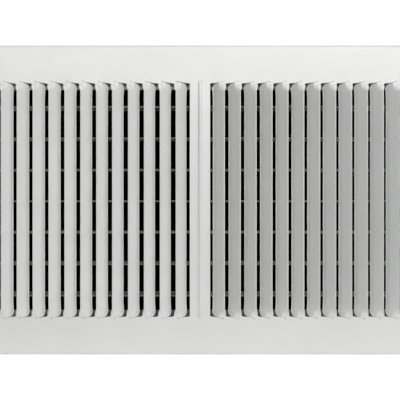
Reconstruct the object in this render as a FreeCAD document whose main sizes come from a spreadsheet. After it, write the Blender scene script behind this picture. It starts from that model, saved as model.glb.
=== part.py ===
import FreeCAD, Part
import Sketcher
import os

from FreeCAD import Placement, Rotation, Vector

# Two-way supply register for a 12 x 6 inch duct: a pressed steel face whose fins are lanced out
# of the sheet, a damper box behind it, seven coupled damper blades and the lever that turns them.
# X runs to the right, Y into the wall, Z up.  The origin is the middle of the two screw holes,
# on the front surface of the face.  Millimetres and degrees throughout.

BLADES = 7
FINS_PER_BANK = 14
GRIP_GROOVES = 3
TOLERANCE = 1e-6

SIZES = [
    # how far a cut runs past the material it removes
    ("cut_past", 1.0),
    # the pressed face
    ("face_width", 349.25),
    ("face_height", 196.85),
    ("face_sheet", 0.8),
    ("rim_depth", 6.4),
    ("corner_radius", 3.0),
    ("edge_radius", 1.5),
    ("hole_spacing", 327.0),
    ("hole_diameter", 4.8),
    # the fins, and the plain strip between the two banks
    ("mullion_half", 6.48),
    ("fin_pitch", 10.06),
    ("fin_angle", 46.7),
    ("fin_front", 4.5),
    ("fin_slit", 0.06),
    ("fin_half_length", 74.9),
    ("fin_tab", 3.8),
    ("fin_twist", 5.5),
    ("tab_embed", 0.3),
    ("tab_inset", 0.05),
    ("fin_end_gap", 0.1),
    ("rib_half_width", 2.0),
    ("rib_half_length", 75.5),
    ("rib_height", 1.0),
    # the notch that the lever comes out through
    ("notch_width", 2.6),
    ("notch_height", 21.0),
    # the damper box
    ("box_sheet", 0.6),
    ("web_sheet", 0.7),
    ("box_depth", 40.0),
    ("box_half_width", 150.0),
    ("box_half_height", 74.3),
    ("flange_width", 8.0),
    ("flange_sheet", 0.7),
    ("tab_front", 6.0),
    ("tab_back", 35.0),
    ("tab_drop", 8.4),
    ("rivet_front", 12.0),
    ("rivet_back", 30.0),
    ("rivet_inset", 5.0),
    ("stop_depth", 18.5),
    ("stop_width", 9.0),
    ("stop_drop", 2.0),
    ("stop_half_length", 149.5),
    # the damper blades
    ("blade_pitch", 20.3),
    ("blade_middle", -1.1),
    ("blade_chord", 24.0),
    ("blade_sheet", 0.6),
    ("blade_half_length", 143.5),
    ("hem_width", 2.2),
    ("pivot_depth", 21.0),
    ("close_angle", 84.0),
    # moulded blade ends and the bushings they turn in
    ("hub_radius", 3.2),
    ("hub_inner", 137.5),
    ("hub_outer", 146.9),
    ("hub_slot", 0.7),
    ("slot_end", 143.7),
    ("collar_radius", 2.8),
    ("collar_end", 149.2),
    ("journal_radius", 2.0),
    ("journal_end", 151.4),
    ("running_fit", 0.05),
    ("bushing_radius", 3.0),
    ("bushing_flange", 4.0),
    ("bushing_flange_width", 0.5),
    ("bushing_lip", 3.4),
    ("bushing_lip_width", 0.5),
    # the cranks, the link bar and the lever
    ("crank_reach", 9.0),
    ("crank_width", 5.2),
    ("crank_inner", 144.9),
    ("crank_pin_radius", 1.2),
    ("crank_pin_end", 148.1),
    ("crank_head_radius", 1.6),
    ("crank_head_end", 148.6),
    ("link_inner", 147.0),
    ("link_sheet", 1.0),
    ("link_width", 6.0),
    ("link_overhang", 3.2),
    ("link_end_radius", 2.4),
    ("lever_sheet", 1.2),
    ("lever_height", 5.0),
    ("lever_reach", 11.5),
    ("lever_neck_depth", 6.0),
    ("foot_bottom", -3.4),
    ("foot_step", 3.0),
    ("foot_top", 9.0),
    ("foot_rivet_low", 0.6),
    ("foot_rivet_pitch", 5.0),
    ("rivet_radius", 1.2),
    ("rivet_head", 2.2),
    ("rivet_head_width", 0.4),
    ("frame_rivet_radius", 1.6),
    ("frame_rivet_head", 2.9),
    ("frame_rivet_tail", 2.2),
    ("frame_rivet_head_width", 0.8),
    # the thumb grip
    ("grip_front", -13.0),
    ("grip_back", -3.6),
    ("grip_half_width", 3.5),
    ("grip_height", 7.0),
    ("grip_rounding", 1.2),
    ("grip_groove", 0.8),
    ("grip_groove_pitch", 2.4),
]

# How far along the chord a crank stands at rest: half the closing angle below straight ahead.
PIN_DEPTH = "(sizes.pivot_depth - sizes.crank_reach * cos(sizes.close_angle * 0.5))"
PIN_DROP = "(sizes.crank_reach * sin(sizes.close_angle * 0.5))"
LEVER_MIDDLE = "(-" + PIN_DROP + ")"


def make_sheet(doc):
    """Write the driving sizes as plain numbers with aliases."""
    sheet = doc.addObject("Spreadsheet::Sheet", "sizes")
    for row, (alias, value) in enumerate(SIZES, start=1):
        sheet.set("A%d" % row, alias)
        sheet.set("B%d" % row, str(value))
        sheet.setAlias("B%d" % row, alias)
    doc.recompute()
    return sheet


def number(holder, expression):
    """Work out an expression over the sheet as a plain number."""
    value = holder.evalExpression(expression)
    return float(getattr(value, "Value", value))


def new_body(doc, label):
    """Start an empty body whose name and label are the sub-part's."""
    body = doc.addObject("PartDesign::Body", label)
    body.Label = label
    body.AllowCompound = True
    return body


def origin_feature(body, role):
    """Find one of the body's own origin planes or axes."""
    return next(item for item in body.Origin.OriginFeatures if item.Role == role)


def new_sketch(body, name, role, height=None):
    """Attach a sketch to one of the body's origin planes, raised along its normal if asked."""
    sketch = body.newObject("Sketcher::SketchObject", name)
    sketch.AttachmentSupport = [(origin_feature(body, role), "")]
    sketch.MapMode = "FlatFace"
    if height is not None:
        sketch.setExpression("AttachmentOffset.Base.z", height)
    return sketch


def bind(sketch, constraint, expression):
    """Add one constraint and tie its value to an expression."""
    index = sketch.addConstraint(constraint)
    sketch.setExpression("Constraints[%d]" % index, expression)


def outline(sketch, corners):
    """Draw a closed straight-sided outline; each corner is a pair of expressions."""
    points = [Vector(number(sketch, across), number(sketch, up), 0) for across, up in corners]
    first = sketch.GeometryCount
    count = len(points)
    for index in range(count):
        sketch.addGeometry(Part.LineSegment(points[index], points[(index + 1) % count]), False)
    for index in range(count):
        after = (index + 1) % count
        sketch.addConstraint(Sketcher.Constraint("Coincident", first + index, 2, first + after, 1))
    for index, (across, up) in enumerate(corners):
        point = points[index]
        bind(sketch, Sketcher.Constraint("DistanceX", -1, 1, first + index, 1, point.x), across)
        bind(sketch, Sketcher.Constraint("DistanceY", -1, 1, first + index, 1, point.y), up)


def rectangle(sketch, left, right, low, high):
    """Draw a rectangle between four expressions."""
    outline(sketch, [(left, low), (right, low), (right, high), (left, high)])


def circle(sketch, across, up, radius):
    """Draw a circle whose centre and radius are expressions."""
    centre = Vector(number(sketch, across), number(sketch, up), 0)
    size = number(sketch, radius)
    index = sketch.addGeometry(Part.Circle(centre, Vector(0, 0, 1), size), False)
    bind(sketch, Sketcher.Constraint("DistanceX", -1, 1, index, 3, centre.x), across)
    bind(sketch, Sketcher.Constraint("DistanceY", -1, 1, index, 3, centre.y), up)
    bind(sketch, Sketcher.Constraint("Radius", index, size), radius)


def pad(body, name, sketch, length, backwards=False, both_ways=False):
    """Extrude a sketch."""
    feature = body.newObject("PartDesign::Pad", name)
    feature.Profile = sketch
    feature.setExpression("Length", length)
    feature.Reversed = backwards
    feature.Midplane = both_ways
    return feature


def pocket(body, name, sketch, length, backwards=False, both_ways=False):
    """Cut a sketch into the body."""
    feature = body.newObject("PartDesign::Pocket", name)
    feature.Profile = sketch
    feature.setExpression("Length", length)
    feature.Reversed = backwards
    feature.Midplane = both_ways
    return feature


def row(body, name, feature, role, length, count):
    """Repeat a feature in a straight row along one of the body's axes."""
    pattern = body.newObject("PartDesign::LinearPattern", name)
    pattern.Originals = [feature]
    pattern.Direction = (origin_feature(body, role), [""])
    pattern.setExpression("Length", length)
    pattern.Occurrences = count
    body.Tip = pattern
    return pattern


def spin(body, name, steps, side=1):
    """Turn a stepped profile about X; steps are (near end, far end, radius) expressions."""
    for index, (near, far, radius) in enumerate(steps):
        sketch = new_sketch(body, "%s_profile_%d" % (name, index), "XY_Plane")
        ends = ["%d * (%s)" % (side, near), "%d * (%s)" % (side, far)]
        rectangle(sketch, ends[0], ends[1], "0", radius)
        feature = body.newObject("PartDesign::Revolution", "%s_%d" % (name, index))
        feature.Profile = sketch
        feature.ReferenceAxis = (origin_feature(body, "X_Axis"), [""])
        feature.Angle = 360.0


def edges_along(shape, direction):
    """Names of the straight edges that run along a direction."""
    names = []
    for index, edge in enumerate(shape.Edges, start=1):
        if edge.Curve.TypeId != "Part::GeomLine":
            continue
        if abs(abs(edge.tangentAt(edge.FirstParameter).dot(direction)) - 1) < TOLERANCE:
            names.append("Edge%d" % index)
    return names


def edges_at(shape, depth):
    """Names of the edges that lie wholly in the plane at one depth."""
    names = []
    for index, edge in enumerate(shape.Edges, start=1):
        box = edge.BoundBox
        if abs(box.YMin - depth) < TOLERANCE and abs(box.YMax - depth) < TOLERANCE:
            names.append("Edge%d" % index)
    return names


def fillet(body, name, base, names, radius):
    """Round the named edges of the feature before."""
    feature = body.newObject("PartDesign::Fillet", name)
    feature.Base = (base, names)
    feature.setExpression("Radius", radius)
    return feature


def fin_section(body, name, side, height, turned):
    """One cross-section of the innermost fin: a flat end tab, or the full strip turned open."""
    outer = "(sizes.mullion_half + sizes.fin_pitch - sizes.fin_slit)"
    sketch = new_sketch(body, name, "XY_Plane", height)
    if not turned:
        near = "%d * (%s - sizes.fin_tab)" % (side, outer)
        rectangle(sketch, near, "%d * %s" % (side, outer),
                  "sizes.tab_inset", "sizes.face_sheet - sizes.tab_inset")
        return sketch
    pivot = "(%s - sizes.fin_front)" % outer
    corners = []
    for along in ("sizes.fin_front", "(sizes.fin_slit - sizes.fin_pitch + sizes.fin_front)"):
        for through in ("0", "sizes.face_sheet"):
            across = "%d * (%s + %s * cos(sizes.fin_angle) + %s * sin(sizes.fin_angle))" % (
                side, pivot, along, through)
            depth = "%s * cos(sizes.fin_angle) - %s * sin(sizes.fin_angle)" % (through, along)
            corners.append((across, depth))
    outline(sketch, [corners[2], corners[0], corners[1], corners[3]])
    return sketch


def face_plate(doc):
    """The pressed face: turned-back rim, two banks of lanced fins, ribbed middle, lever notch."""
    body = new_body(doc, "face_plate")
    blank = new_sketch(body, "blank_outline", "XZ_Plane")
    rectangle(blank, "-sizes.face_width / 2", "sizes.face_width / 2",
              "-sizes.face_height / 2", "sizes.face_height / 2")
    block = pad(body, "blank", blank, "sizes.rim_depth", backwards=True)
    doc.recompute()
    corners = edges_along(block.Shape, Vector(0, 1, 0))
    rounded = fillet(body, "rounded_corners", block, corners, "sizes.corner_radius")
    doc.recompute()
    front = edges_at(rounded.Shape, 0)
    fillet(body, "rolled_edge", rounded, front, "sizes.edge_radius")

    inside = new_sketch(body, "inside_outline", "XZ_Plane", "-sizes.face_sheet")
    rectangle(inside, "-sizes.face_width / 2 + sizes.face_sheet",
              "sizes.face_width / 2 - sizes.face_sheet",
              "-sizes.face_height / 2 + sizes.face_sheet",
              "sizes.face_height / 2 - sizes.face_sheet")
    pocket(body, "inside", inside, "sizes.rim_depth")

    windows = new_sketch(body, "windows_outline", "XZ_Plane")
    far = "(sizes.mullion_half + %d * sizes.fin_pitch)" % FINS_PER_BANK
    for side in (-1, 1):
        rectangle(windows, "%d * sizes.mullion_half" % side, "%d * %s" % (side, far),
                  "-sizes.fin_half_length", "sizes.fin_half_length")
    pocket(body, "windows", windows, "sizes.rim_depth")

    notch = new_sketch(body, "notch_outline", "XZ_Plane")
    rectangle(notch, far + " - sizes.cut_past", far + " + sizes.notch_width",
              "-sizes.notch_height / 2", "sizes.notch_height / 2")
    pocket(body, "notch", notch, "sizes.rim_depth")

    holes = new_sketch(body, "hole_centres", "XZ_Plane")
    for side in (-1, 1):
        circle(holes, "%d * sizes.hole_spacing / 2" % side, "0", "sizes.hole_diameter / 2")
    pocket(body, "screw_holes", holes, "sizes.rim_depth")

    rib = new_sketch(body, "rib_outline", "XY_Plane")
    rectangle(rib, "-sizes.rib_half_width", "sizes.rib_half_width",
              "-sizes.rib_height", "sizes.face_sheet / 2")
    body.Tip = pad(body, "rib", rib, "2 * sizes.rib_half_length", both_ways=True)

    for side in (-1, 1):
        hand = "left" if side < 0 else "right"
        end = "(sizes.fin_half_length + sizes.tab_embed)"
        full = "(sizes.fin_half_length - sizes.fin_twist)"
        sections = [
            fin_section(body, hand + "_fin_foot", side, "-" + end, False),
            fin_section(body, hand + "_fin_low", side, "-" + full, True),
            fin_section(body, hand + "_fin_high", side, full, True),
            fin_section(body, hand + "_fin_head", side, end, False),
        ]
        fin = body.newObject("PartDesign::AdditiveLoft", hand + "_fin")
        fin.Profile = sections[0]
        fin.Sections = sections[1:]
        fin.Ruled = True
        doc.recompute()
        bank = row(body, hand + "_bank", fin, "X_Axis",
                   "%d * sizes.fin_pitch" % (FINS_PER_BANK - 1), FINS_PER_BANK)
        bank.Reversed = side < 0
        doc.recompute()

    ends = new_sketch(body, "fin_ends_outline", "XZ_Plane", "-sizes.face_sheet")
    for level in (-1, 1):
        rectangle(ends, "-" + far, far,
                  "%d * (sizes.box_half_height - sizes.fin_end_gap)" % level,
                  "%d * (sizes.fin_half_length + sizes.cut_past)" % level)
    body.Tip = pocket(body, "fin_ends", ends, "sizes.rim_depth")
    return body


def frame_channel(doc, label, side):
    """Top or bottom of the damper box: a web, a flange behind the face, and a tab at each end."""
    body = new_body(doc, label)
    inner = "%d * sizes.box_half_height" % side
    outer = "%d * (sizes.box_half_height + sizes.web_sheet)" % side
    brim = "%d * (sizes.box_half_height + sizes.flange_width)" % side
    behind_flange = "sizes.face_sheet + sizes.flange_sheet"
    full_width = "2 * (sizes.box_half_width + 2 * sizes.box_sheet)"

    profile = new_sketch(body, "channel_profile", "YZ_Plane")
    outline(profile, [("sizes.face_sheet", inner), ("sizes.box_depth", inner),
                      ("sizes.box_depth", outer), (behind_flange, outer),
                      (behind_flange, brim), ("sizes.face_sheet", brim)])
    pad(body, "channel", profile, full_width, both_ways=True)

    drop = "%d * (sizes.box_half_height - sizes.tab_drop)" % side
    tabs = new_sketch(body, "tab_profile", "YZ_Plane")
    rectangle(tabs, "sizes.tab_front", "sizes.tab_back", drop, inner)
    pad(body, "end_tabs", tabs, full_width, both_ways=True)

    clear = new_sketch(body, "between_tabs", "YZ_Plane")
    rectangle(clear, "sizes.tab_front - sizes.cut_past",
              "sizes.tab_back + sizes.cut_past", drop, inner)
    pocket(body, "inside", clear, "2 * (sizes.box_half_width + sizes.box_sheet)", both_ways=True)

    rivets = new_sketch(body, "rivet_centres", "YZ_Plane")
    for depth in ("sizes.rivet_front", "sizes.rivet_back"):
        circle(rivets, depth, "%d * (sizes.box_half_height - sizes.rivet_inset)" % side,
               "sizes.frame_rivet_radius + sizes.running_fit")
    body.Tip = pocket(body, "rivet_holes", rivets, full_width, both_ways=True)
    return body


def frame_side(doc, label, side):
    """Left or right of the damper box: a plate with a flange, seven bushing holes, rivet holes."""
    body = new_body(doc, label)
    plate = new_sketch(body, "plate_outline", "YZ_Plane", "%d * sizes.box_half_width" % side)
    rectangle(plate, "sizes.face_sheet", "sizes.box_depth",
              "-sizes.box_half_height", "sizes.box_half_height")
    pad(body, "plate", plate, "sizes.box_sheet", backwards=side < 0)

    flange = new_sketch(body, "flange_profile", "XY_Plane")
    rectangle(flange, "%d * sizes.box_half_width" % side,
              "%d * (sizes.box_half_width + sizes.flange_width)" % side,
              "sizes.face_sheet", "sizes.face_sheet + sizes.flange_sheet")
    pad(body, "flange", flange, "2 * sizes.box_half_height", both_ways=True)

    across = "2 * (sizes.box_half_width + 2 * sizes.box_sheet)"
    rivets = new_sketch(body, "rivet_centres", "YZ_Plane")
    for level in (-1, 1):
        for depth in ("sizes.rivet_front", "sizes.rivet_back"):
            circle(rivets, depth, "%d * (sizes.box_half_height - sizes.rivet_inset)" % level,
                   "sizes.frame_rivet_radius + sizes.running_fit")
    pocket(body, "rivet_holes", rivets, across, both_ways=True)

    lowest = "sizes.blade_middle - %d * sizes.blade_pitch" % (BLADES // 2)
    bores = new_sketch(body, "bushing_centre", "YZ_Plane")
    circle(bores, "sizes.pivot_depth", lowest, "sizes.bushing_radius + sizes.running_fit")
    bore = pocket(body, "bushing_hole", bores, across, both_ways=True)
    doc.recompute()
    row(body, "bushing_holes", bore, "Z_Axis", "%d * sizes.blade_pitch" % (BLADES - 1), BLADES)
    return body


def upper_stop(doc):
    """The angle strip under the top of the box that the top blade closes against."""
    body = new_body(doc, "upper_stop")
    top = "sizes.box_half_height"
    under = "(sizes.box_half_height - sizes.box_sheet)"
    lip = "(sizes.box_half_height - sizes.stop_drop)"
    front = "sizes.stop_depth"
    behind_lip = "(sizes.stop_depth + sizes.box_sheet)"
    back = "(sizes.stop_depth + sizes.stop_width)"
    profile = new_sketch(body, "angle_profile", "YZ_Plane")
    outline(profile, [(front, lip), (behind_lip, lip), (behind_lip, under),
                      (back, under), (back, top), (front, top)])
    body.Tip = pad(body, "angle", profile, "2 * sizes.stop_half_length", both_ways=True)
    return body


def place_blade_piece(body, index):
    """Put a piece made on the pivot axis at its blade's own height."""
    body.setExpression("Placement.Base.y", "sizes.pivot_depth")
    level = "sizes.blade_middle + %d * sizes.blade_pitch" % (BLADES // 2 + 1 - index)
    body.setExpression("Placement.Base.z", level)


def damper_blade(doc, index):
    """One damper blade, open: a flat strip with both long edges hemmed over."""
    body = new_body(doc, "damper_blade_%d" % index)
    tip = "sizes.blade_chord / 2"
    hem = "(sizes.blade_chord / 2 - sizes.hem_width)"
    low = "-sizes.blade_sheet / 2"
    high = "sizes.blade_sheet / 2"
    folded = "sizes.blade_sheet * 1.5"
    profile = new_sketch(body, "strip_profile", "YZ_Plane")
    outline(profile, [("-" + tip, low), (tip, low), (tip, folded), (hem, folded), (hem, high),
                      ("-" + hem, high), ("-" + hem, folded), ("-" + tip, folded)])
    body.Tip = pad(body, "strip", profile, "2 * sizes.blade_half_length", both_ways=True)
    place_blade_piece(body, index)
    return body


def blade_end(doc, label, side):
    """A moulded blade end on the pivot axis: slotted hub, collar and journal."""
    body = new_body(doc, label)
    spin(body, "turned", [("sizes.hub_inner", "sizes.hub_outer", "sizes.hub_radius"),
                          ("sizes.hub_outer", "sizes.collar_end", "sizes.collar_radius"),
                          ("sizes.collar_end", "sizes.journal_end", "sizes.journal_radius")], side)
    slot = new_sketch(body, "slot_outline", "XZ_Plane")
    rectangle(slot, "%d * (sizes.hub_inner - sizes.cut_past)" % side, "%d * sizes.slot_end" % side,
              "-sizes.hub_slot / 2", "sizes.hub_slot / 2")
    body.Tip = pocket(body, "blade_slot", slot, "4 * sizes.hub_radius", both_ways=True)
    return body


def blade_pivot(doc, index):
    """Left-hand blade end, a plain pivot."""
    body = blade_end(doc, "blade_pivot_%d" % index, -1)
    place_blade_piece(body, index)
    return body


def blade_crank(doc, index):
    """Right-hand blade end, with the crank arm and the snap pin that the link bar hangs on."""
    body = blade_end(doc, "blade_crank_%d" % index, 1)
    ahead = "cos(sizes.close_angle * 0.5)"
    down = "sin(sizes.close_angle * 0.5)"
    centre = ("-sizes.crank_reach * " + ahead, "-sizes.crank_reach * " + down)
    half = "sizes.crank_width / 2"
    aside = ("%s * %s" % (half, down), "%s * %s" % (half, ahead))

    arm = new_sketch(body, "arm_outline", "YZ_Plane", "sizes.crank_inner")
    outline(arm, [("-" + aside[0], aside[1]),
                  ("%s - %s" % (centre[0], aside[0]), "%s + %s" % (centre[1], aside[1])),
                  ("%s + %s" % (centre[0], aside[0]), "%s - %s" % (centre[1], aside[1])),
                  (aside[0], "-" + aside[1])])
    pad(body, "arm", arm, "sizes.hub_outer - sizes.crank_inner")
    for name, near, far, radius in (
            ("arm_end", "sizes.crank_inner", "sizes.hub_outer", half),
            ("pin", "sizes.hub_outer", "sizes.crank_pin_end", "sizes.crank_pin_radius"),
            ("snap_head", "sizes.crank_pin_end", "sizes.crank_head_end",
             "sizes.crank_head_radius")):
        disc = new_sketch(body, name + "_outline", "YZ_Plane", near)
        circle(disc, centre[0], centre[1], radius)
        body.Tip = pad(body, name, disc, "%s - %s" % (far, near))
    place_blade_piece(body, index)
    return body


def bushings(doc, label, side):
    """Seven moulded bushings snapped into one side of the box, made as one row."""
    body = new_body(doc, label)
    wall = "sizes.box_half_width"
    outside = "(sizes.box_half_width + sizes.box_sheet)"
    spin(body, "turned", [
        (wall + " - sizes.bushing_flange_width", wall, "sizes.bushing_flange"),
        (wall, outside, "sizes.bushing_radius"),
        (outside, outside + " + sizes.bushing_lip_width", "sizes.bushing_lip")], side)
    bore = new_sketch(body, "bore_outline", "YZ_Plane")
    circle(bore, "0", "0", "sizes.journal_radius + sizes.running_fit")
    cut = pocket(body, "bore", bore, "4 * " + wall, both_ways=True)
    doc.recompute()
    turned = [item for item in body.Group if item.TypeId == "PartDesign::Revolution"]
    pattern = row(body, "bushing_row", turned[0], "Z_Axis",
                  "%d * sizes.blade_pitch" % (BLADES - 1), BLADES)
    pattern.Originals = turned + [cut]
    body.setExpression("Placement.Base.y", "sizes.pivot_depth")
    body.setExpression("Placement.Base.z",
                       "sizes.blade_middle - %d * sizes.blade_pitch" % (BLADES // 2))
    return body


def frame_rivets(doc):
    """Eight blind rivets that hold the corner tabs of the damper box."""
    body = new_body(doc, "frame_rivets")
    wall = "sizes.box_half_width"
    outside = "(sizes.box_half_width + 2 * sizes.box_sheet)"
    width = "sizes.frame_rivet_head_width"
    tail = "(%s - %s)" % (wall, width)
    head = "(%s + %s)" % (outside, width)
    steps = [(tail, wall, "sizes.frame_rivet_tail"),
             (wall, outside, "sizes.frame_rivet_radius"),
             (outside, head, "sizes.frame_rivet_head")]
    for side in (-1, 1):
        for index, (near, far, radius) in enumerate(steps):
            start = near if side > 0 else "-%s" % far
            discs = new_sketch(body, "discs_%d_%d" % (side + 1, index), "YZ_Plane", start)
            for level in (-1, 1):
                for depth in ("sizes.rivet_front", "sizes.rivet_back"):
                    circle(discs, depth,
                           "%d * (sizes.box_half_height - sizes.rivet_inset)" % level, radius)
            body.Tip = pad(body, "stack_%d_%d" % (side + 1, index), discs,
                           "%s - %s" % (far, near))
    return body


def link_bar(doc):
    """The flat bar that joins the seven crank pins."""
    body = new_body(doc, "link_bar")
    lowest = "(sizes.blade_middle - %d * sizes.blade_pitch - %s)" % (BLADES // 2, PIN_DROP)
    highest = "(sizes.blade_middle + %d * sizes.blade_pitch - %s)" % (BLADES // 2, PIN_DROP)
    bar = new_sketch(body, "bar_outline", "YZ_Plane", "sizes.link_inner")
    rectangle(bar, PIN_DEPTH + " - sizes.link_width / 2", PIN_DEPTH + " + sizes.link_width / 2",
              lowest + " - sizes.link_overhang", highest + " + sizes.link_overhang")
    strip = pad(body, "bar", bar, "sizes.link_sheet")
    doc.recompute()
    ends = edges_along(strip.Shape, Vector(1, 0, 0))
    fillet(body, "rounded_ends", strip, ends, "sizes.link_end_radius")

    rivets = new_sketch(body, "rivet_centres", "YZ_Plane", "sizes.link_inner")
    for step in (0, 1):
        circle(rivets, PIN_DEPTH, "sizes.foot_rivet_low + %d * sizes.foot_rivet_pitch" % step,
               "sizes.rivet_radius + sizes.running_fit")
    pocket(body, "rivet_holes", rivets, "sizes.link_sheet", backwards=True)

    pins = new_sketch(body, "pin_centre", "YZ_Plane", "sizes.link_inner")
    circle(pins, PIN_DEPTH, lowest, "sizes.crank_pin_radius + sizes.running_fit")
    hole = pocket(body, "pin_hole", pins, "sizes.link_sheet", backwards=True)
    doc.recompute()
    row(body, "pin_holes", hole, "Z_Axis", "%d * sizes.blade_pitch" % (BLADES - 1), BLADES)
    return body


def operating_lever(doc):
    """The flat lever: a foot riveted to the link bar and an arm out through the notch."""
    body = new_body(doc, "operating_lever")
    back = PIN_DEPTH + " + sizes.link_width / 2"
    front = PIN_DEPTH + " - sizes.link_width / 2"
    low = LEVER_MIDDLE + " - sizes.lever_height / 2"
    high = LEVER_MIDDLE + " + sizes.lever_height / 2"
    shape = new_sketch(body, "lever_outline", "YZ_Plane", "sizes.link_inner + sizes.link_sheet")
    outline(shape, [("-sizes.lever_reach", low), ("sizes.lever_neck_depth", low),
                    (front, "sizes.foot_bottom"), (back, "sizes.foot_bottom"),
                    (back, "sizes.foot_top"), (front, "sizes.foot_top"),
                    (front, "sizes.foot_step"), ("sizes.lever_neck_depth", high),
                    ("-sizes.lever_reach", high)])
    pad(body, "lever", shape, "sizes.lever_sheet")
    rivets = new_sketch(body, "rivet_centres", "YZ_Plane", "sizes.link_inner")
    for step in (0, 1):
        circle(rivets, PIN_DEPTH, "sizes.foot_rivet_low + %d * sizes.foot_rivet_pitch" % step,
               "sizes.rivet_radius + sizes.running_fit")
    body.Tip = pocket(body, "rivet_holes", rivets, "sizes.link_sheet + 2 * sizes.lever_sheet",
                      backwards=True)
    return body


def lever_rivets(doc):
    """Two small rivets through the link bar and the foot of the lever."""
    body = new_body(doc, "lever_rivets")
    inner = "sizes.link_inner"
    outer = "(sizes.link_inner + sizes.link_sheet + sizes.lever_sheet)"
    width = "sizes.rivet_head_width"
    steps = [("(%s - %s)" % (inner, width), inner, "sizes.rivet_head"),
             (inner, outer, "sizes.rivet_radius"),
             (outer, "(%s + %s)" % (outer, width), "sizes.rivet_head")]
    for index, (near, far, radius) in enumerate(steps):
        discs = new_sketch(body, "discs_%d" % index, "YZ_Plane", near)
        for step in (0, 1):
            circle(discs, PIN_DEPTH,
                   "sizes.foot_rivet_low + %d * sizes.foot_rivet_pitch" % step, radius)
        body.Tip = pad(body, "stack_%d" % index, discs, "%s - %s" % (far, near))
    return body


def lever_grip(doc):
    """The moulded thumb grip pushed on the end of the lever, grooved above and below."""
    body = new_body(doc, "lever_grip")
    middle = "(sizes.link_inner + sizes.link_sheet + sizes.lever_sheet / 2)"
    low = LEVER_MIDDLE + " - sizes.grip_height / 2"
    high = LEVER_MIDDLE + " + sizes.grip_height / 2"
    shape = new_sketch(body, "grip_outline", "YZ_Plane", middle)
    rectangle(shape, "sizes.grip_front", "sizes.grip_back", low, high)
    block = pad(body, "grip", shape, "2 * sizes.grip_half_width", both_ways=True)
    doc.recompute()
    fillet(body, "rounded_grip", block, edges_along(block.Shape, Vector(1, 0, 0)),
           "sizes.grip_rounding")

    grooves = new_sketch(body, "grooves_outline", "YZ_Plane", middle)
    for index in range(GRIP_GROOVES):
        depth = "(sizes.grip_front + %d * sizes.grip_groove_pitch)" % (index + 1)
        for level in (low, high):
            circle(grooves, depth, level, "sizes.grip_groove / 2")
    pocket(body, "grooves", grooves, "3 * sizes.grip_half_width", both_ways=True)

    socket = new_sketch(body, "socket_outline", "YZ_Plane", middle)
    rectangle(socket, "-sizes.lever_reach", "sizes.grip_back + sizes.cut_past",
              LEVER_MIDDLE + " - sizes.lever_height / 2", LEVER_MIDDLE + " + sizes.lever_height / 2")
    body.Tip = pocket(body, "socket", socket, "sizes.lever_sheet", both_ways=True)
    return body


def build(doc):
    """Make every sub-part of the register."""
    parts = [face_plate(doc), frame_channel(doc, "frame_top", 1),
             frame_channel(doc, "frame_bottom", -1), frame_side(doc, "side_left", -1),
             frame_side(doc, "side_right", 1), upper_stop(doc),
             bushings(doc, "left_bushings", -1), bushings(doc, "right_bushings", 1),
             frame_rivets(doc), link_bar(doc), operating_lever(doc), lever_rivets(doc),
             lever_grip(doc)]
    for index in range(1, BLADES + 1):
        parts += [damper_blade(doc, index), blade_pivot(doc, index), blade_crank(doc, index)]
    return parts


def check(doc, parts):
    """Stop if any object failed or any sub-part is not a sound solid."""
    for item in doc.Objects:
        if "Invalid" in item.State or "Error" in item.State:
            raise RuntimeError("%s failed: %s" % (item.Name, item.State))
    for part in parts:
        if part.Shape.isNull() or not part.Shape.isValid() or not part.Shape.Solids:
            raise RuntimeError("%s has no sound shape" % part.Label)


def write(parts):
    """Write one STEP file for each sub-part."""
    os.makedirs("parts", exist_ok=True)
    for part in parts:
        part.Shape.exportStep("parts/%s.step" % part.Label)
        box = part.Shape.BoundBox
        print("%-18s %2d solids %10.1f mm3  x %7.2f %7.2f  y %6.2f %6.2f  z %7.2f %7.2f" % (
            part.Label, len(part.Shape.Solids), part.Shape.Volume,
            box.XMin, box.XMax, box.YMin, box.YMax, box.ZMin, box.ZMax))


document = FreeCAD.newDocument("supply_register")
make_sheet(document)
sub_parts = build(document)
document.recompute()
check(document, sub_parts)
write(sub_parts)
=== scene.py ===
import math

import bmesh
import bpy
import numpy as np
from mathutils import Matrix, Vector


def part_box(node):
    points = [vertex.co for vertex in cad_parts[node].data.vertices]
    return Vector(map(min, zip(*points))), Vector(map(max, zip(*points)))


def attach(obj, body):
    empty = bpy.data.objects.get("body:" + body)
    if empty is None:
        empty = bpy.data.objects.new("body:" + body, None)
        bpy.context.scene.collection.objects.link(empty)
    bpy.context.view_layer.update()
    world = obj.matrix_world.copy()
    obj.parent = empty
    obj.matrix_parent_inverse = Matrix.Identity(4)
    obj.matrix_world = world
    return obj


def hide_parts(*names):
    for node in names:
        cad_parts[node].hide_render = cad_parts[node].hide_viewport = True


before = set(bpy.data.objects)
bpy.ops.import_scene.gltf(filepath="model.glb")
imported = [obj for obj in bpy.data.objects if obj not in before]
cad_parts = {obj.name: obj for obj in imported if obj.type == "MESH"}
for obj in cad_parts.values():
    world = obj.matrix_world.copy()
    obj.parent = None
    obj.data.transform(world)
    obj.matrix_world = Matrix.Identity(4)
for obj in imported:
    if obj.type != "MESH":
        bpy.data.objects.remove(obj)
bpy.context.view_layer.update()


# ---------------------------------------------------------------------------------------------
# The pressed face.  One blank of 0.8 mm steel: the rim is turned back round a small radius, the
# two banks of fins are lanced and twisted open out of the sheet, the strip between them has a
# pressed rib, and each end has a dimpled screw hole.  Powder coated white all over.
# ---------------------------------------------------------------------------------------------

MM = 0.001

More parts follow.
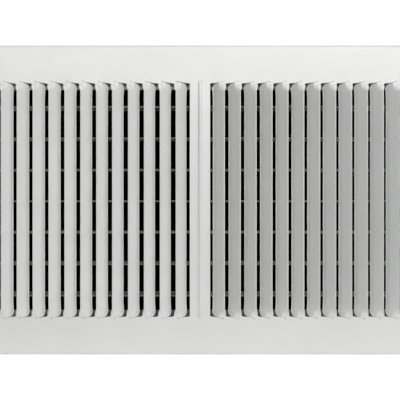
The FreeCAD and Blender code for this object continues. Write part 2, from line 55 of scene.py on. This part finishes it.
face_low, face_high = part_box("face_plate")
sheet = 0.8 * MM
sheet_edge_rounding = 0.26 * MM
rim_back = face_high.y
edge_radius = 1.5 * MM
corner_radius = 3.0 * MM
mullion_half = 6.48 * MM
fin_pitch = 10.06 * MM
fin_width = 10.0 * MM
fin_angle = math.radians(46.7)
fin_pivot = 4.5 * MM
fin_tab = 3.8 * MM
fins_per_bank = 14
slot_end = 74.9 * MM
slot_shoulder = 74.0 * MM
bank_end = mullion_half + fins_per_bank * fin_pitch


def smooth(low, high, value):
    """A soft step: 0 below low, 1 above high, and 3t^2 - 2t^3 between."""
    t = np.clip((value - low) / (high - low), 0.0, 1.0)
    return t * t * (3.0 - 2.0 * t)


def quads_of(grid):
    """The four corner numbers of each square of a grid, row by row."""
    rows, columns = grid.shape[:2]
    number = np.arange(rows * columns).reshape(rows, columns)
    corners = (number[:-1, :-1], number[:-1, 1:], number[1:, 1:], number[1:, :-1])
    return np.stack(corners, axis=-1)


def surface(name, grids, gaps=None):
    """One mesh from grids of points: neighbours make quads, and coincident points become one.

    Squares with no area are left out, and so are the squares of the first grid marked in gaps.
    """
    points = []
    quads = []
    start = 0
    for order, grid in enumerate(grids):
        spot = grid.reshape(-1, 3)
        squares = quads_of(grid)
        if order == 0 and gaps is not None:
            squares = squares[~gaps]
        squares = squares.reshape(-1, 4)
        corner = spot[squares]
        area = np.linalg.norm(np.cross(corner[:, 2] - corner[:, 0],
                                       corner[:, 3] - corner[:, 1]), axis=1)
        quads.append(squares[area > 1e-12] + start)
        points.append(spot)
        start += len(spot)
    mesh = bpy.data.meshes.new(name)
    mesh.from_pydata(np.concatenate(points).tolist(), [], np.concatenate(quads).tolist())
    shape = bmesh.new()
    shape.from_mesh(mesh)
    bmesh.ops.remove_doubles(shape, verts=shape.verts, dist=1e-6)
    shape.to_mesh(mesh)
    shape.free()
    piece = bpy.data.objects.new(name, mesh)
    bpy.context.scene.collection.objects.link(piece)
    return piece


def thicken(piece, thickness, offset=-1.0):
    """Give a sheet its thickness; offset -1 puts all of it behind the surface."""
    wall = piece.modifiers.new("wall", "SOLIDIFY")
    wall.thickness = thickness
    wall.offset = offset


def soften(piece, width, segments=2, angle=35.0, clamp=True):
    """Round the sharp edges of a piece and shade it smooth."""
    piece.data.shade_smooth()
    edges = piece.modifiers.new("edges", "BEVEL")
    edges.width = width
    edges.segments = segments
    edges.limit_method = "ANGLE"
    edges.angle_limit = math.radians(angle)
    edges.use_clamp_overlap = clamp
    edges.harden_normals = True


def slot_line(u):
    """Height of the cut across the end of a strip, u in from its outer edge: up, then down."""
    rise = slot_end - slot_shoulder
    up = slot_shoulder + rise * u / fin_tab
    down = slot_end - rise * (u - fin_tab) / (fin_pitch - fin_tab)
    return np.where(u < fin_tab, up, down)


def rib_rise(x, z):
    """How far the middle strip stands forward.

    A rib h(1 - (d/w)^2), d from its spine, a groove beside it that falls off as exp(-t^2), and a
    crown c(1 - |x|/half)^p that is steepest at the rib and fades out before the strip's ends.
    """
    half_width = 1.3 * MM
    half_length = 75.4 * MM
    height = 0.55 * MM
    groove_depth = 0.10 * MM
    groove_place = 1.5 * MM
    groove_width = 0.24 * MM
    crown_height = 0.80 * MM
    crown_power = 2.2
    fade = 8 * MM
    beyond = np.clip(np.abs(z) - (half_length - half_width), 0.0, None)
    away = np.hypot(x, beyond)
    rib = height * np.clip(1.0 - (away / half_width) ** 2, 0.0, None)
    groove = groove_depth * np.exp(-((away - groove_place) / groove_width) ** 2)
    crown = crown_height * np.clip(1.0 - np.abs(x) / mullion_half, 0.0, None) ** crown_power
    return rib - groove + crown * smooth(slot_shoulder, slot_shoulder - fade, np.abs(z))


tab_steps = np.linspace(0.0, fin_tab, 4)
free_steps = np.linspace(fin_tab, fin_pitch, 4)[1:]
strip_steps = np.concatenate([tab_steps, free_steps])
half_columns = np.array([0.4, 0.8, 1.1, 1.35, 1.5, 1.62, 1.74, 1.86, 1.98, 2.15, 2.4, 2.9, 3.7, 4.6,
                         5.5, 6.48]) * MM
rib_columns = np.concatenate([-half_columns[::-1], [0.0], half_columns])


def top_edge():
    """The sawtooth line along the heads of both banks, from left to right, as x and z."""
    xs = []
    zs = []
    for index in range(fins_per_bank):
        outer = mullion_half + (index + 1) * fin_pitch
        xs.append((outer - strip_steps)[::-1])
        zs.append(slot_line(strip_steps)[::-1])
    x = np.concatenate(xs)
    z = np.concatenate(zs)
    across = np.concatenate([-x[::-1], rib_columns[1:-1], x])
    height = np.concatenate([z[::-1], np.full(len(rib_columns) - 2, slot_shoulder), z])
    keep = np.concatenate([[True], np.diff(across) > 1e-7])
    return across[keep], height[keep]


hole_x = 163.5 * MM
hole_patch = 6.0 * MM
hole_steps = 9
notch_half = 10.5 * MM
notch_depth = 2.6 * MM


def side_heights():
    """Heights of the columns up one end margin, closer together near the screw hole."""
    near = np.linspace(-hole_patch, hole_patch, hole_steps)
    far = np.linspace(hole_patch, slot_shoulder, 18)[1:]
    steps = np.concatenate([-far[::-1], near, far])
    return np.sort(np.concatenate([steps, [-notch_half, -notch_half, notch_half, notch_half]]))


def face_loop():
    """Matching points round the opening and round the flat of the face, seen from the front.

    The loop runs up the right end, along the top, down the left end and back along the bottom.
    Each row is the inner point, the outer point, the outward direction and the least x allowed.
    """
    flat_x = face_high.x - edge_radius
    flat_z = face_high.z - edge_radius
    bend_x = face_high.x - corner_radius
    bend_z = face_high.z - corner_radius
    small = corner_radius - edge_radius

    def stretch(inner, outer, direction):
        parts = [np.broadcast_to(part, (len(outer), 2)) for part in (inner, outer, direction)]
        return np.hstack(parts)

    z = side_heights()
    end = stretch(np.stack([np.full(len(z), bank_end), z], 1),
                  np.stack([np.full(len(z), flat_x), z], 1), [1.0, 0.0])

    rise = np.linspace(slot_shoulder, bend_z, 7)[1:]
    run = np.linspace(bend_x, bank_end, 9)[1:-1]
    turn = np.linspace(0.0, math.pi / 2, 9)[1:]
    around = np.stack([np.cos(turn), np.sin(turn)], 1)
    corner = np.vstack([
        stretch([bank_end, slot_shoulder], np.stack([np.full(6, flat_x), rise], 1), [1.0, 0.0]),
        stretch([bank_end, slot_shoulder], [bend_x, bend_z] + small * around, around),
        stretch([bank_end, slot_shoulder], np.stack([run, np.full(7, flat_z)], 1), [0.0, 1.0])])

    x, height = top_edge()
    top = stretch(np.stack([x, height], 1), np.stack([x, np.full(len(x), flat_z)], 1),
                  [0.0, 1.0])[::-1]

    mirror_x = np.array([-1, 1, -1, 1, -1, 1])
    mirror_z = np.array([1, -1, 1, -1, 1, -1])
    loop = np.vstack([end, corner, top, (corner * mirror_x)[::-1], (end * mirror_x)[::-1],
                      corner * mirror_x * mirror_z, (top * mirror_z)[::-1],
                      (corner * mirror_z)[::-1], end[:1]])
    limit = np.zeros(len(loop))
    doubled = np.flatnonzero(np.isclose(np.abs(z), notch_half))
    limit[doubled[1]:doubled[2] + 1] = bank_end + notch_depth
    return loop, limit


def face_sheet():
    """The flat margins and the rim: straight lines from opening to edge, then round the bend."""
    loop, limit = face_loop()
    inner, outer, direction = loop[:, 0:2], loop[:, 2:4], loop[:, 4:6]
    reach = face_high.x - edge_radius - bank_end
    hole_rings = hole_x - bank_end + np.linspace(-hole_patch, hole_patch, hole_steps)
    last_ring = 24.2 * MM
    near_rings = np.array([0.0, 0.35, 0.7, 1.0, 1.3, 1.6, 1.9, 2.3, 3.0, 4.0, 5.6, 7.6]) * MM
    rings = []
    for share in np.concatenate([near_rings, hole_rings, [last_ring, reach]]) / reach:
        flat = inner + (outer - inner) * share
        x = np.where(limit > 0, np.maximum(flat[:, 0], limit), flat[:, 0])
        rise = np.where(np.abs(x) < mullion_half + 1e-7, rib_rise(x, flat[:, 1]), 0.0)
        rings.append(np.stack([x, -rise, flat[:, 1]], 1))
    for turn in np.linspace(0.0, math.pi / 2, 7)[1:]:
        flat = outer + direction * edge_radius * math.sin(turn)
        depth = np.full(len(flat), edge_radius * (1 - math.cos(turn)))
        rings.append(np.stack([flat[:, 0], depth, flat[:, 1]], 1))
    for depth in np.linspace(edge_radius, rim_back, 3)[1:]:
        flat = outer + direction * edge_radius
        rings.append(np.stack([flat[:, 0], np.full(len(flat), depth), flat[:, 1]], 1))
    return np.stack(rings, axis=1)


def screw_dimple(side):
    """The patch round a screw hole: a square that becomes a circle, then a cone down to the hole."""
    step = np.linspace(-hole_patch, hole_patch, hole_steps)
    low = np.full(hole_steps - 1, -hole_patch)
    square = np.concatenate([
        np.stack([step[:-1], low], 1), np.stack([-low, step[:-1]], 1),
        np.stack([step[:0:-1], -low], 1), np.stack([low, step[:0:-1]], 1)])
    square = np.concatenate([square, square[:1]])
    way = square / np.linalg.norm(square, axis=1)[:, None]
    rings = [np.stack([square[:, 0], np.zeros(len(square)), square[:, 1]], 1)]
    for radius, depth in ((5.4, 0.0), (5.0, 0.02), (4.6, 0.12), (3.0, 0.86), (2.7, 0.98),
                          (2.4, 1.02)):
        rings.append(np.stack([way[:, 0] * radius * MM, np.full(len(way), depth * MM),
                               way[:, 1] * radius * MM], 1))
    patch = np.stack(rings)
    patch[..., 0] += side * hole_x
    return patch


def middle_strip():
    """The strip between the banks: x across, z along, and y drawn forward by rib_rise."""
    ends = np.array([0.0, 0.15, 0.35, 0.6, 0.9, 1.2, 1.5, 1.9, 2.4, 3.2, 4.4, 6.0, 8.5, 14.0, 30.0])
    heights = np.concatenate([slot_shoulder - ends * MM, [0.0]])
    heights = np.concatenate([-heights, heights[-2::-1]])
    x, z = np.meshgrid(rib_columns, heights)
    return np.stack([x, -rib_rise(x, z), z], -1)


def fin(side, index):
    """One fin, as u across from its fold and a distance along from its end.

    The slope at u runs from 0 at the end of the fold to the fin's full angle; x and y are the
    sums of its cosine and sine over u.  A circle rounds the free corner, and a jog near the back
    edge makes the rolled lip.
    """
    ends = np.array([0.0, 0.35, 0.75, 1.2, 1.65, 2.1, 2.6, 3.1, 3.6, 4.2, 5.0, 6.0, 7.4, 9.4,
                     13.0, 22.0, 42.0, 74.0]) * MM
    away = np.concatenate([ends, ends[-2::-1]])
    sign = np.concatenate([-np.ones(len(ends)), np.ones(len(ends) - 1)])
    beyond = np.array([4.1, 4.4, 4.8, 5.2, 6.2, 7.4, 8.2, 8.5, 8.8, 9.0, 9.2, 9.45]) * MM
    across = np.concatenate([tab_steps, beyond, [fin_width]])

    corner = 3.3 * MM
    fold_length = 5.5 * MM
    free_length = 9.0 * MM
    end_share = 0.86
    clearance = 0.07 * MM
    lip_in = 17
    lip_out = 28
    cut = np.clip(corner - away, 0.0, None)
    reach = fin_width - (corner - np.sqrt(corner ** 2 - cut ** 2))
    share = (reach - fin_tab) / (fin_width - fin_tab)
    u = np.where(across[None, :] > fin_tab + 1e-9,
                 fin_tab + (across[None, :] - fin_tab) * share[:, None], across[None, :])

    held = fin_angle * smooth(0.0, fold_length, away)[:, None]
    opened = end_share + (1 - end_share) * smooth(0.0, free_length, away)
    free = fin_angle * opened[:, None]
    slope = held + (free - held) * smooth(fin_tab, fin_tab + 1.4 * MM, u)
    jog = lip_in * smooth(8.0 * MM, 8.5 * MM, across)
    jog = jog - lip_out * smooth(8.8 * MM, 9.1 * MM, across)
    slope = slope + np.radians(jog)[None, :] * smooth(0.5 * MM, 3.0 * MM, away)[:, None]
    step = np.diff(u, axis=1)
    middle = (slope[:, 1:] + slope[:, :-1]) / 2
    x = np.concatenate([np.zeros((len(away), 1)), np.cumsum(step * np.cos(middle), axis=1)], 1)
    y = np.concatenate([np.zeros((len(away), 1)), np.cumsum(step * np.sin(middle), axis=1)], 1)
    x = x + (fin_pivot - fin_pivot * np.cos(held))
    y = y - fin_pivot * np.sin(held)

    gap = clearance * smooth(fin_tab, fin_tab + 0.3 * MM, u)
    z = sign[:, None] * (slot_line(u) * (1 - away[:, None] / slot_shoulder) - gap)
    outer = mullion_half + (index + 1) * fin_pitch
    grid = np.stack([side * (outer - x), y, z], -1)
    return grid[:, ::-1] if side > 0 else grid


margins = face_sheet()
centres = (margins[:-1, :-1] + margins[1:, 1:]) / 2
near_hole = np.abs(np.abs(centres[..., 0]) - hole_x) < hole_patch
near_hole &= np.abs(centres[..., 2]) < hole_patch
sheet_grids = [margins, middle_strip(), screw_dimple(-1), screw_dimple(1)]
for index in range(fins_per_bank):
    sheet_grids += [fin(-1, index), fin(1, index)]
pressed_face = surface("pressed_face", sheet_grids, near_hole)
thicken(pressed_face, sheet)
soften(pressed_face, sheet_edge_rounding, segments=3, clamp=False)


def nodes_of(name):
    """A new material with an empty node tree, its output and its principled shader."""
    material = bpy.data.materials.new(name)
    material.use_nodes = True
    tree = material.node_tree
    tree.nodes.clear()
    output = tree.nodes.new("ShaderNodeOutputMaterial")
    shader = tree.nodes.new("ShaderNodeBsdfPrincipled")
    tree.links.new(shader.outputs["BSDF"], output.inputs["Surface"])
    return material, tree, shader


def noise(tree, scale, detail=3.0, stretch=None):
    """Noise over the piece's own metres; stretch squeezes the pattern along an axis."""
    place = tree.nodes.new("ShaderNodeTexCoord")
    pattern = tree.nodes.new("ShaderNodeTexNoise")
    pattern.inputs["Scale"].default_value = scale
    pattern.inputs["Detail"].default_value = detail
    if stretch is None:
        tree.links.new(place.outputs["Object"], pattern.inputs["Vector"])
    else:
        squeeze = tree.nodes.new("ShaderNodeMapping")
        squeeze.inputs["Scale"].default_value = stretch
        tree.links.new(place.outputs["Object"], squeeze.inputs["Vector"])
        tree.links.new(squeeze.outputs["Vector"], pattern.inputs["Vector"])
    return pattern.outputs["Fac"]


def ramp(tree, source, stops):
    """Turn a value into a colour or a grey by stops of place and colour."""
    scale = tree.nodes.new("ShaderNodeValToRGB")
    scale.color_ramp.elements[0].position = stops[0][0]
    scale.color_ramp.elements[0].color = (*stops[0][1], 1.0)
    scale.color_ramp.elements[1].position = stops[1][0]
    scale.color_ramp.elements[1].color = (*stops[1][1], 1.0)
    tree.links.new(source, scale.inputs["Fac"])
    return scale.outputs["Color"]


def bump(tree, shader, source, strength, distance, before=None):
    """Raise the surface a little by a value; a second bump builds on the one before."""
    relief = tree.nodes.new("ShaderNodeBump")
    relief.inputs["Strength"].default_value = strength
    relief.inputs["Distance"].default_value = distance
    tree.links.new(source, relief.inputs["Height"])
    if before is not None:
        tree.links.new(before, relief.inputs["Normal"])
    tree.links.new(relief.outputs["Normal"], shader.inputs["Normal"])
    return relief.outputs["Normal"]


def powder_coat():
    """White powder coat: fine orange peel, a slow unevenness in tone and a patchy sheen."""
    material, tree, shader = nodes_of("white_powder_coat")
    tone = ramp(tree, noise(tree, 28.0), [(0.3, (0.765, 0.765, 0.758)), (0.7, (0.80, 0.80, 0.794))])
    tree.links.new(tone, shader.inputs["Base Color"])
    sheen = ramp(tree, noise(tree, 160.0), [(0.3, (0.29,) * 3), (0.7, (0.37,) * 3)])
    tree.links.new(sheen, shader.inputs["Roughness"])
    shader.inputs["Specular IOR Level"].default_value = 1.0
    peel = bump(tree, shader, noise(tree, 900.0, 2.0), 0.5, 0.00007)
    bump(tree, shader, noise(tree, 3200.0, 1.0), 0.2, 0.00002, peel)
    return material


white_coat = powder_coat()
pressed_face.data.materials.append(white_coat)
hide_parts("face_plate")
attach(pressed_face, "frame")


# ---------------------------------------------------------------------------------------------
# The damper box.  Four galvanised strips, bent and riveted at the corners and spot welded to the
# back of the face, with a small angle under the top for the first blade to close against.  The
# angle gets a pale, non-metal copy of the zinc: painted light, for the light that the face's top
# edge keeps off it.
# ---------------------------------------------------------------------------------------------


def galvanised(name, dark, light, metallic=1.0):
    """Zinc-coated strip: soft spangle of flat crystals, faint rolling marks, dull sheen."""
    material, tree, shader = nodes_of(name)
    place = tree.nodes.new("ShaderNodeTexCoord")
    crystals = tree.nodes.new("ShaderNodeTexVoronoi")
    crystals.inputs["Scale"].default_value = 150.0
    tree.links.new(place.outputs["Object"], crystals.inputs["Vector"])
    grey = tree.nodes.new("ShaderNodeRGBToBW")
    tree.links.new(crystals.outputs["Color"], grey.inputs["Color"])
    tone = ramp(tree, grey.outputs["Val"], [(0.2, (dark,) * 3), (0.8, (light,) * 3)])
    tree.links.new(tone, shader.inputs["Base Color"])
    shader.inputs["Metallic"].default_value = metallic
    dull = ramp(tree, grey.outputs["Val"], [(0.0, (0.42,) * 3), (1.0, (0.58,) * 3)])
    tree.links.new(dull, shader.inputs["Roughness"])
    bump(tree, shader, noise(tree, 500.0, 2.0, (0.06, 1.0, 1.0)), 0.2, 0.00003)
    return material


zinc = galvanised("galvanised_steel", 0.40, 0.60)
# Painted light: a pale, non-metal copy of the galvanised finish, for the stop strip that the face's
# top edge shades.
painted_light_zinc = galvanised("galvanised_steel_painted_light", 0.90, 0.96, metallic=0.0)


def eased_copy(node, name, body, material, width):
    """A welded copy of a frame node with its edges eased, standing for that node."""
    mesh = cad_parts[node].data.copy()
    mesh.name = name
    mesh.materials.clear()
    mesh.materials.append(material)
    shape = bmesh.new()
    shape.from_mesh(mesh)
    bmesh.ops.remove_doubles(shape, verts=shape.verts, dist=1e-6)
    bmesh.ops.dissolve_limit(shape, angle_limit=math.radians(1.0), verts=shape.verts,
                             edges=shape.edges)
    bmesh.ops.triangulate(shape, faces=[face for face in shape.faces if len(face.verts) > 4])
    shape.to_mesh(mesh)
    shape.free()
    piece = bpy.data.objects.new(name, mesh)
    bpy.context.scene.collection.objects.link(piece)
    soften(piece, width)
    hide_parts(node)
    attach(piece, body)


for node in ("frame_top", "frame_bottom", "side_left", "side_right"):
    eased_copy(node, "box_" + node, "frame", zinc, 0.1 * MM)
# The stop strip wears the painted-light copy of the zinc.
eased_copy("upper_stop", "stop_strip", "frame", painted_light_zinc, 0.1 * MM)


# ---------------------------------------------------------------------------------------------
# The damper blades.  Seven strips of galvanised steel, each long edge folded over into a
# round hem, turning together on moulded ends.  Their zinc is a darker copy of the box's:
# painted shade that keeps their undersides and tops dark between the fins.
# ---------------------------------------------------------------------------------------------

blade_sheet = 0.56 * MM
# Painted shade: a darker copy of the galvanised finish, standing in for the shade deep in the box.
shaded_zinc = galvanised("galvanised_steel_painted_shade", 0.20, 0.30)


def blade(index):
    """One blade: the centre line of its section, carried along the blade's length.

    The line is flat, then a half circle of radius fold at each edge, then a short flap back.
    """
    low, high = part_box("damper_blade_%d" % index)
    fold = 0.3 * MM
    flap = 1.4 * MM
    axis_y = (low.y + high.y) / 2
    axis_z = low.z + fold
    tip = (high.y - low.y) / 2 - blade_sheet / 2
    turn = np.linspace(-math.pi / 2, math.pi / 2, 9)
    nose = tip - fold
    y = np.concatenate([nose + fold * np.cos(turn), [nose - flap]])
    z = np.concatenate([fold + fold * np.sin(turn), [2 * fold]])
    flat = np.linspace(-nose, nose, 13)[1:-1]
    y = np.concatenate([-y[::-1], flat, y])
    z = np.concatenate([z[::-1], np.zeros(len(flat)), z])
    x = np.linspace(low.x, high.x, 25)
    grid = np.stack(np.broadcast_arrays(x[:, None], axis_y + y[None, :], axis_z + z[None, :]), -1)
    piece = surface("blade_%d" % index, [grid])
    thicken(piece, blade_sheet, 0.0)
    soften(piece, 0.08 * MM)
    piece.data.materials.append(shaded_zinc)
    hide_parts("damper_blade_%d" % index)
    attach(piece, "blade_%d" % index)


def moulded_nylon():
    """Natural nylon: slightly waxy and see-through, with faint flow marks from the mould."""
    material, tree, shader = nodes_of("natural_nylon")
    tone = ramp(tree, noise(tree, 120.0), [(0.3, (0.72, 0.70, 0.63)), (0.7, (0.78, 0.76, 0.70))])
    tree.links.new(tone, shader.inputs["Base Color"])
    sheen = ramp(tree, noise(tree, 700.0), [(0.3, (0.38,) * 3), (0.7, (0.52,) * 3)])
    tree.links.new(sheen, shader.inputs["Roughness"])
    bump(tree, shader, noise(tree, 1500.0, 2.0), 0.15, 0.00003)
    return material


nylon = moulded_nylon()
blades = 7
for index in range(1, blades + 1):
    blade(index)
    for part in ("blade_pivot_%d", "blade_crank_%d"):
        node = part % index
        eased_copy(node, "end_" + node, "blade_%d" % index, nylon, 0.12 * MM)
for node in ("left_bushings", "right_bushings"):
    eased_copy(node, "moulded_" + node, "frame", nylon, 0.08 * MM)


# ---------------------------------------------------------------------------------------------
# The linkage.  A flat bar hangs on the seven crank pins, and a lever riveted to it comes out
# through the notch in the face and ends in a white thumb grip.
# ---------------------------------------------------------------------------------------------


def grip_moulding():
    """White moulded plastic with a fine spark texture."""
    material, tree, shader = nodes_of("white_grip_plastic")
    tone = ramp(tree, noise(tree, 90.0), [(0.3, (0.78, 0.78, 0.77)), (0.7, (0.82, 0.82, 0.81))])
    tree.links.new(tone, shader.inputs["Base Color"])
    sheen = ramp(tree, noise(tree, 900.0), [(0.3, (0.30,) * 3), (0.7, (0.42,) * 3)])
    tree.links.new(sheen, shader.inputs["Roughness"])
    bump(tree, shader, noise(tree, 2600.0, 1.0), 0.2, 0.00003)
    return material


def rivet_metal():
    """Soft aluminium rivets, a little scuffed on the heads."""
    material, tree, shader = nodes_of("rivet_aluminium")
    tone = ramp(tree, noise(tree, 900.0), [(0.3, (0.62, 0.63, 0.64)), (0.7, (0.76, 0.77, 0.78))])
    tree.links.new(tone, shader.inputs["Base Color"])
    shader.inputs["Metallic"].default_value = 1.0
    dull = ramp(tree, noise(tree, 2500.0), [(0.3, (0.28,) * 3), (0.7, (0.45,) * 3)])
    tree.links.new(dull, shader.inputs["Roughness"])
    return material


rivets = rivet_metal()
eased_copy("frame_rivets", "corner_rivets", "frame", rivets, 0.25 * MM)
eased_copy("lever_rivets", "foot_rivets", "linkage", rivets, 0.12 * MM)
eased_copy("link_bar", "crank_link", "linkage", zinc, 0.12 * MM)
eased_copy("operating_lever", "hand_lever", "linkage", zinc, 0.12 * MM)
eased_copy("lever_grip", "thumb_grip", "linkage", grip_moulding(), 0.25 * MM)


# ---------------------------------------------------------------------------------------------
# The studio: a pale floor, a white surround that lights weakly, soft lamps before and behind, and
# a dark card behind the box, clear from its back, that shows black through the slots as painted
# shade.
# ---------------------------------------------------------------------------------------------

scene = bpy.context.scene
scene.view_settings.view_transform = "Standard"


def pale_floor():
    """The floor's plain white, with a little light of its own so that it burns out evenly."""
    material, tree, shader = nodes_of("pale_floor")
    shader.inputs["Base Color"].default_value = (0.9, 0.9, 0.9, 1.0)
    shader.inputs["Roughness"].default_value = 0.6
    shader.inputs["Emission Color"].default_value = (1.0, 1.0, 1.0, 1.0)
    shader.inputs["Emission Strength"].default_value = 1.0
    return material


def panel(name, centre, across, up):
    """A flat rectangle given by its middle and two half sides."""
    centre, across, up = (np.array(v) for v in (centre, across, up))
    grid = np.array([[centre - across - up, centre + across - up],
                     [centre - across + up, centre + across + up]])
    piece = surface(name, [grid])
    return piece


floor_gap = 0.5 * MM
floor = panel("floor", (0, 1.0, face_low.z - floor_gap), (3.0, 0, 0), (0, 3.0, 0))
floor.data.materials.append(pale_floor())
floor.visible_diffuse = False
floor.visible_glossy = False
floor.visible_shadow = False

# The card is painted shade: a black sheet, opaque from the front, clear from behind and casting no
# shadow, that stands in for the darkness behind the slots.
card_depth = 41.5 * MM
card = panel("painted_shade_card", (0, card_depth, 0), (151.5 * MM, 0, 0), (0, 0, 76.0 * MM))
card_material, card_tree, card_shader = nodes_of("painted_shade_black")
card_shader.inputs["Base Color"].default_value = (0.0, 0.0, 0.0, 1.0)
card_shader.inputs["Specular IOR Level"].default_value = 0.0
facing = card_tree.nodes.new("ShaderNodeNewGeometry")
clear = card_tree.nodes.new("ShaderNodeBsdfTransparent")
choose = card_tree.nodes.new("ShaderNodeMixShader")
card_tree.links.new(facing.outputs["Backfacing"], choose.inputs["Fac"])
card_tree.links.new(card_shader.outputs["BSDF"], choose.inputs[1])
card_tree.links.new(clear.outputs["BSDF"], choose.inputs[2])
card_tree.links.new(choose.outputs["Shader"],
                    card_tree.nodes["Material Output"].inputs["Surface"])
card.data.materials.append(card_material)
card.visible_shadow = False

world = bpy.data.worlds.new("surround")
scene.world = world
world.use_nodes = True
room = world.node_tree
room.nodes["Background"].inputs["Color"].default_value = (1.0, 1.0, 1.0, 1.0)
room.nodes["Background"].inputs["Strength"].default_value = 0.12
backdrop = room.nodes.new("ShaderNodeBackground")
backdrop.inputs["Color"].default_value = (1.0, 1.0, 1.0, 1.0)
backdrop.inputs["Strength"].default_value = 1.05
sees = room.nodes.new("ShaderNodeLightPath")
either = room.nodes.new("ShaderNodeMixShader")
room.links.new(sees.outputs["Is Camera Ray"], either.inputs["Fac"])
room.links.new(room.nodes["Background"].outputs["Background"], either.inputs[1])
room.links.new(backdrop.outputs["Background"], either.inputs[2])
room.links.new(either.outputs["Shader"], room.nodes["World Output"].inputs["Surface"])


def lamp(name, place, target, size, power):
    """A soft rectangular lamp aimed at a point."""
    light = bpy.data.lights.new(name, "AREA")
    light.shape = "RECTANGLE"
    light.size, light.size_y = size
    light.energy = power
    holder = bpy.data.objects.new(name, light)
    holder.location = place
    holder.rotation_euler = (Vector(target) - Vector(place)).to_track_quat("-Z", "Y").to_euler()
    holder.visible_camera = False
    scene.collection.objects.link(holder)


lamp("key_softbox", (0.24, -0.85, 0.31), (0, 0, 0), (1.6, 0.36), 8.4)
lamp("front_softbox", (0.10, -1.00, 0.02), (0, 0, 0), (0.8, 0.20), 0.15)
lamp("top_softbox", (0.0, -0.1, 1.6), (0, 0, 0), (1.0, 1.0), 7.0)
lamp("bounce_card", (0.0, -0.05, -0.15), (0, 0, -0.095), (0.4, 0.04), 0.07)
lamp("rear_softbox", (-0.7, 1.5, 0.0), (0, 0, 0), (0.4, 0.4), 14.0)

distance = 620 * MM
camera_x = -33 * MM
view_width = 254.24 * MM
sensor_width = 36.0
data = bpy.data.cameras.new("camera")
data.sensor_width = sensor_width
data.lens = sensor_width * distance / view_width
data.shift_x = -camera_x / view_width
data.clip_start = 0.05
camera = bpy.data.objects.new("camera", data)
camera.location = (camera_x, -distance, 0)
camera.rotation_euler = (math.pi / 2, 0, 0)
scene.collection.objects.link(camera)
scene.camera = camera
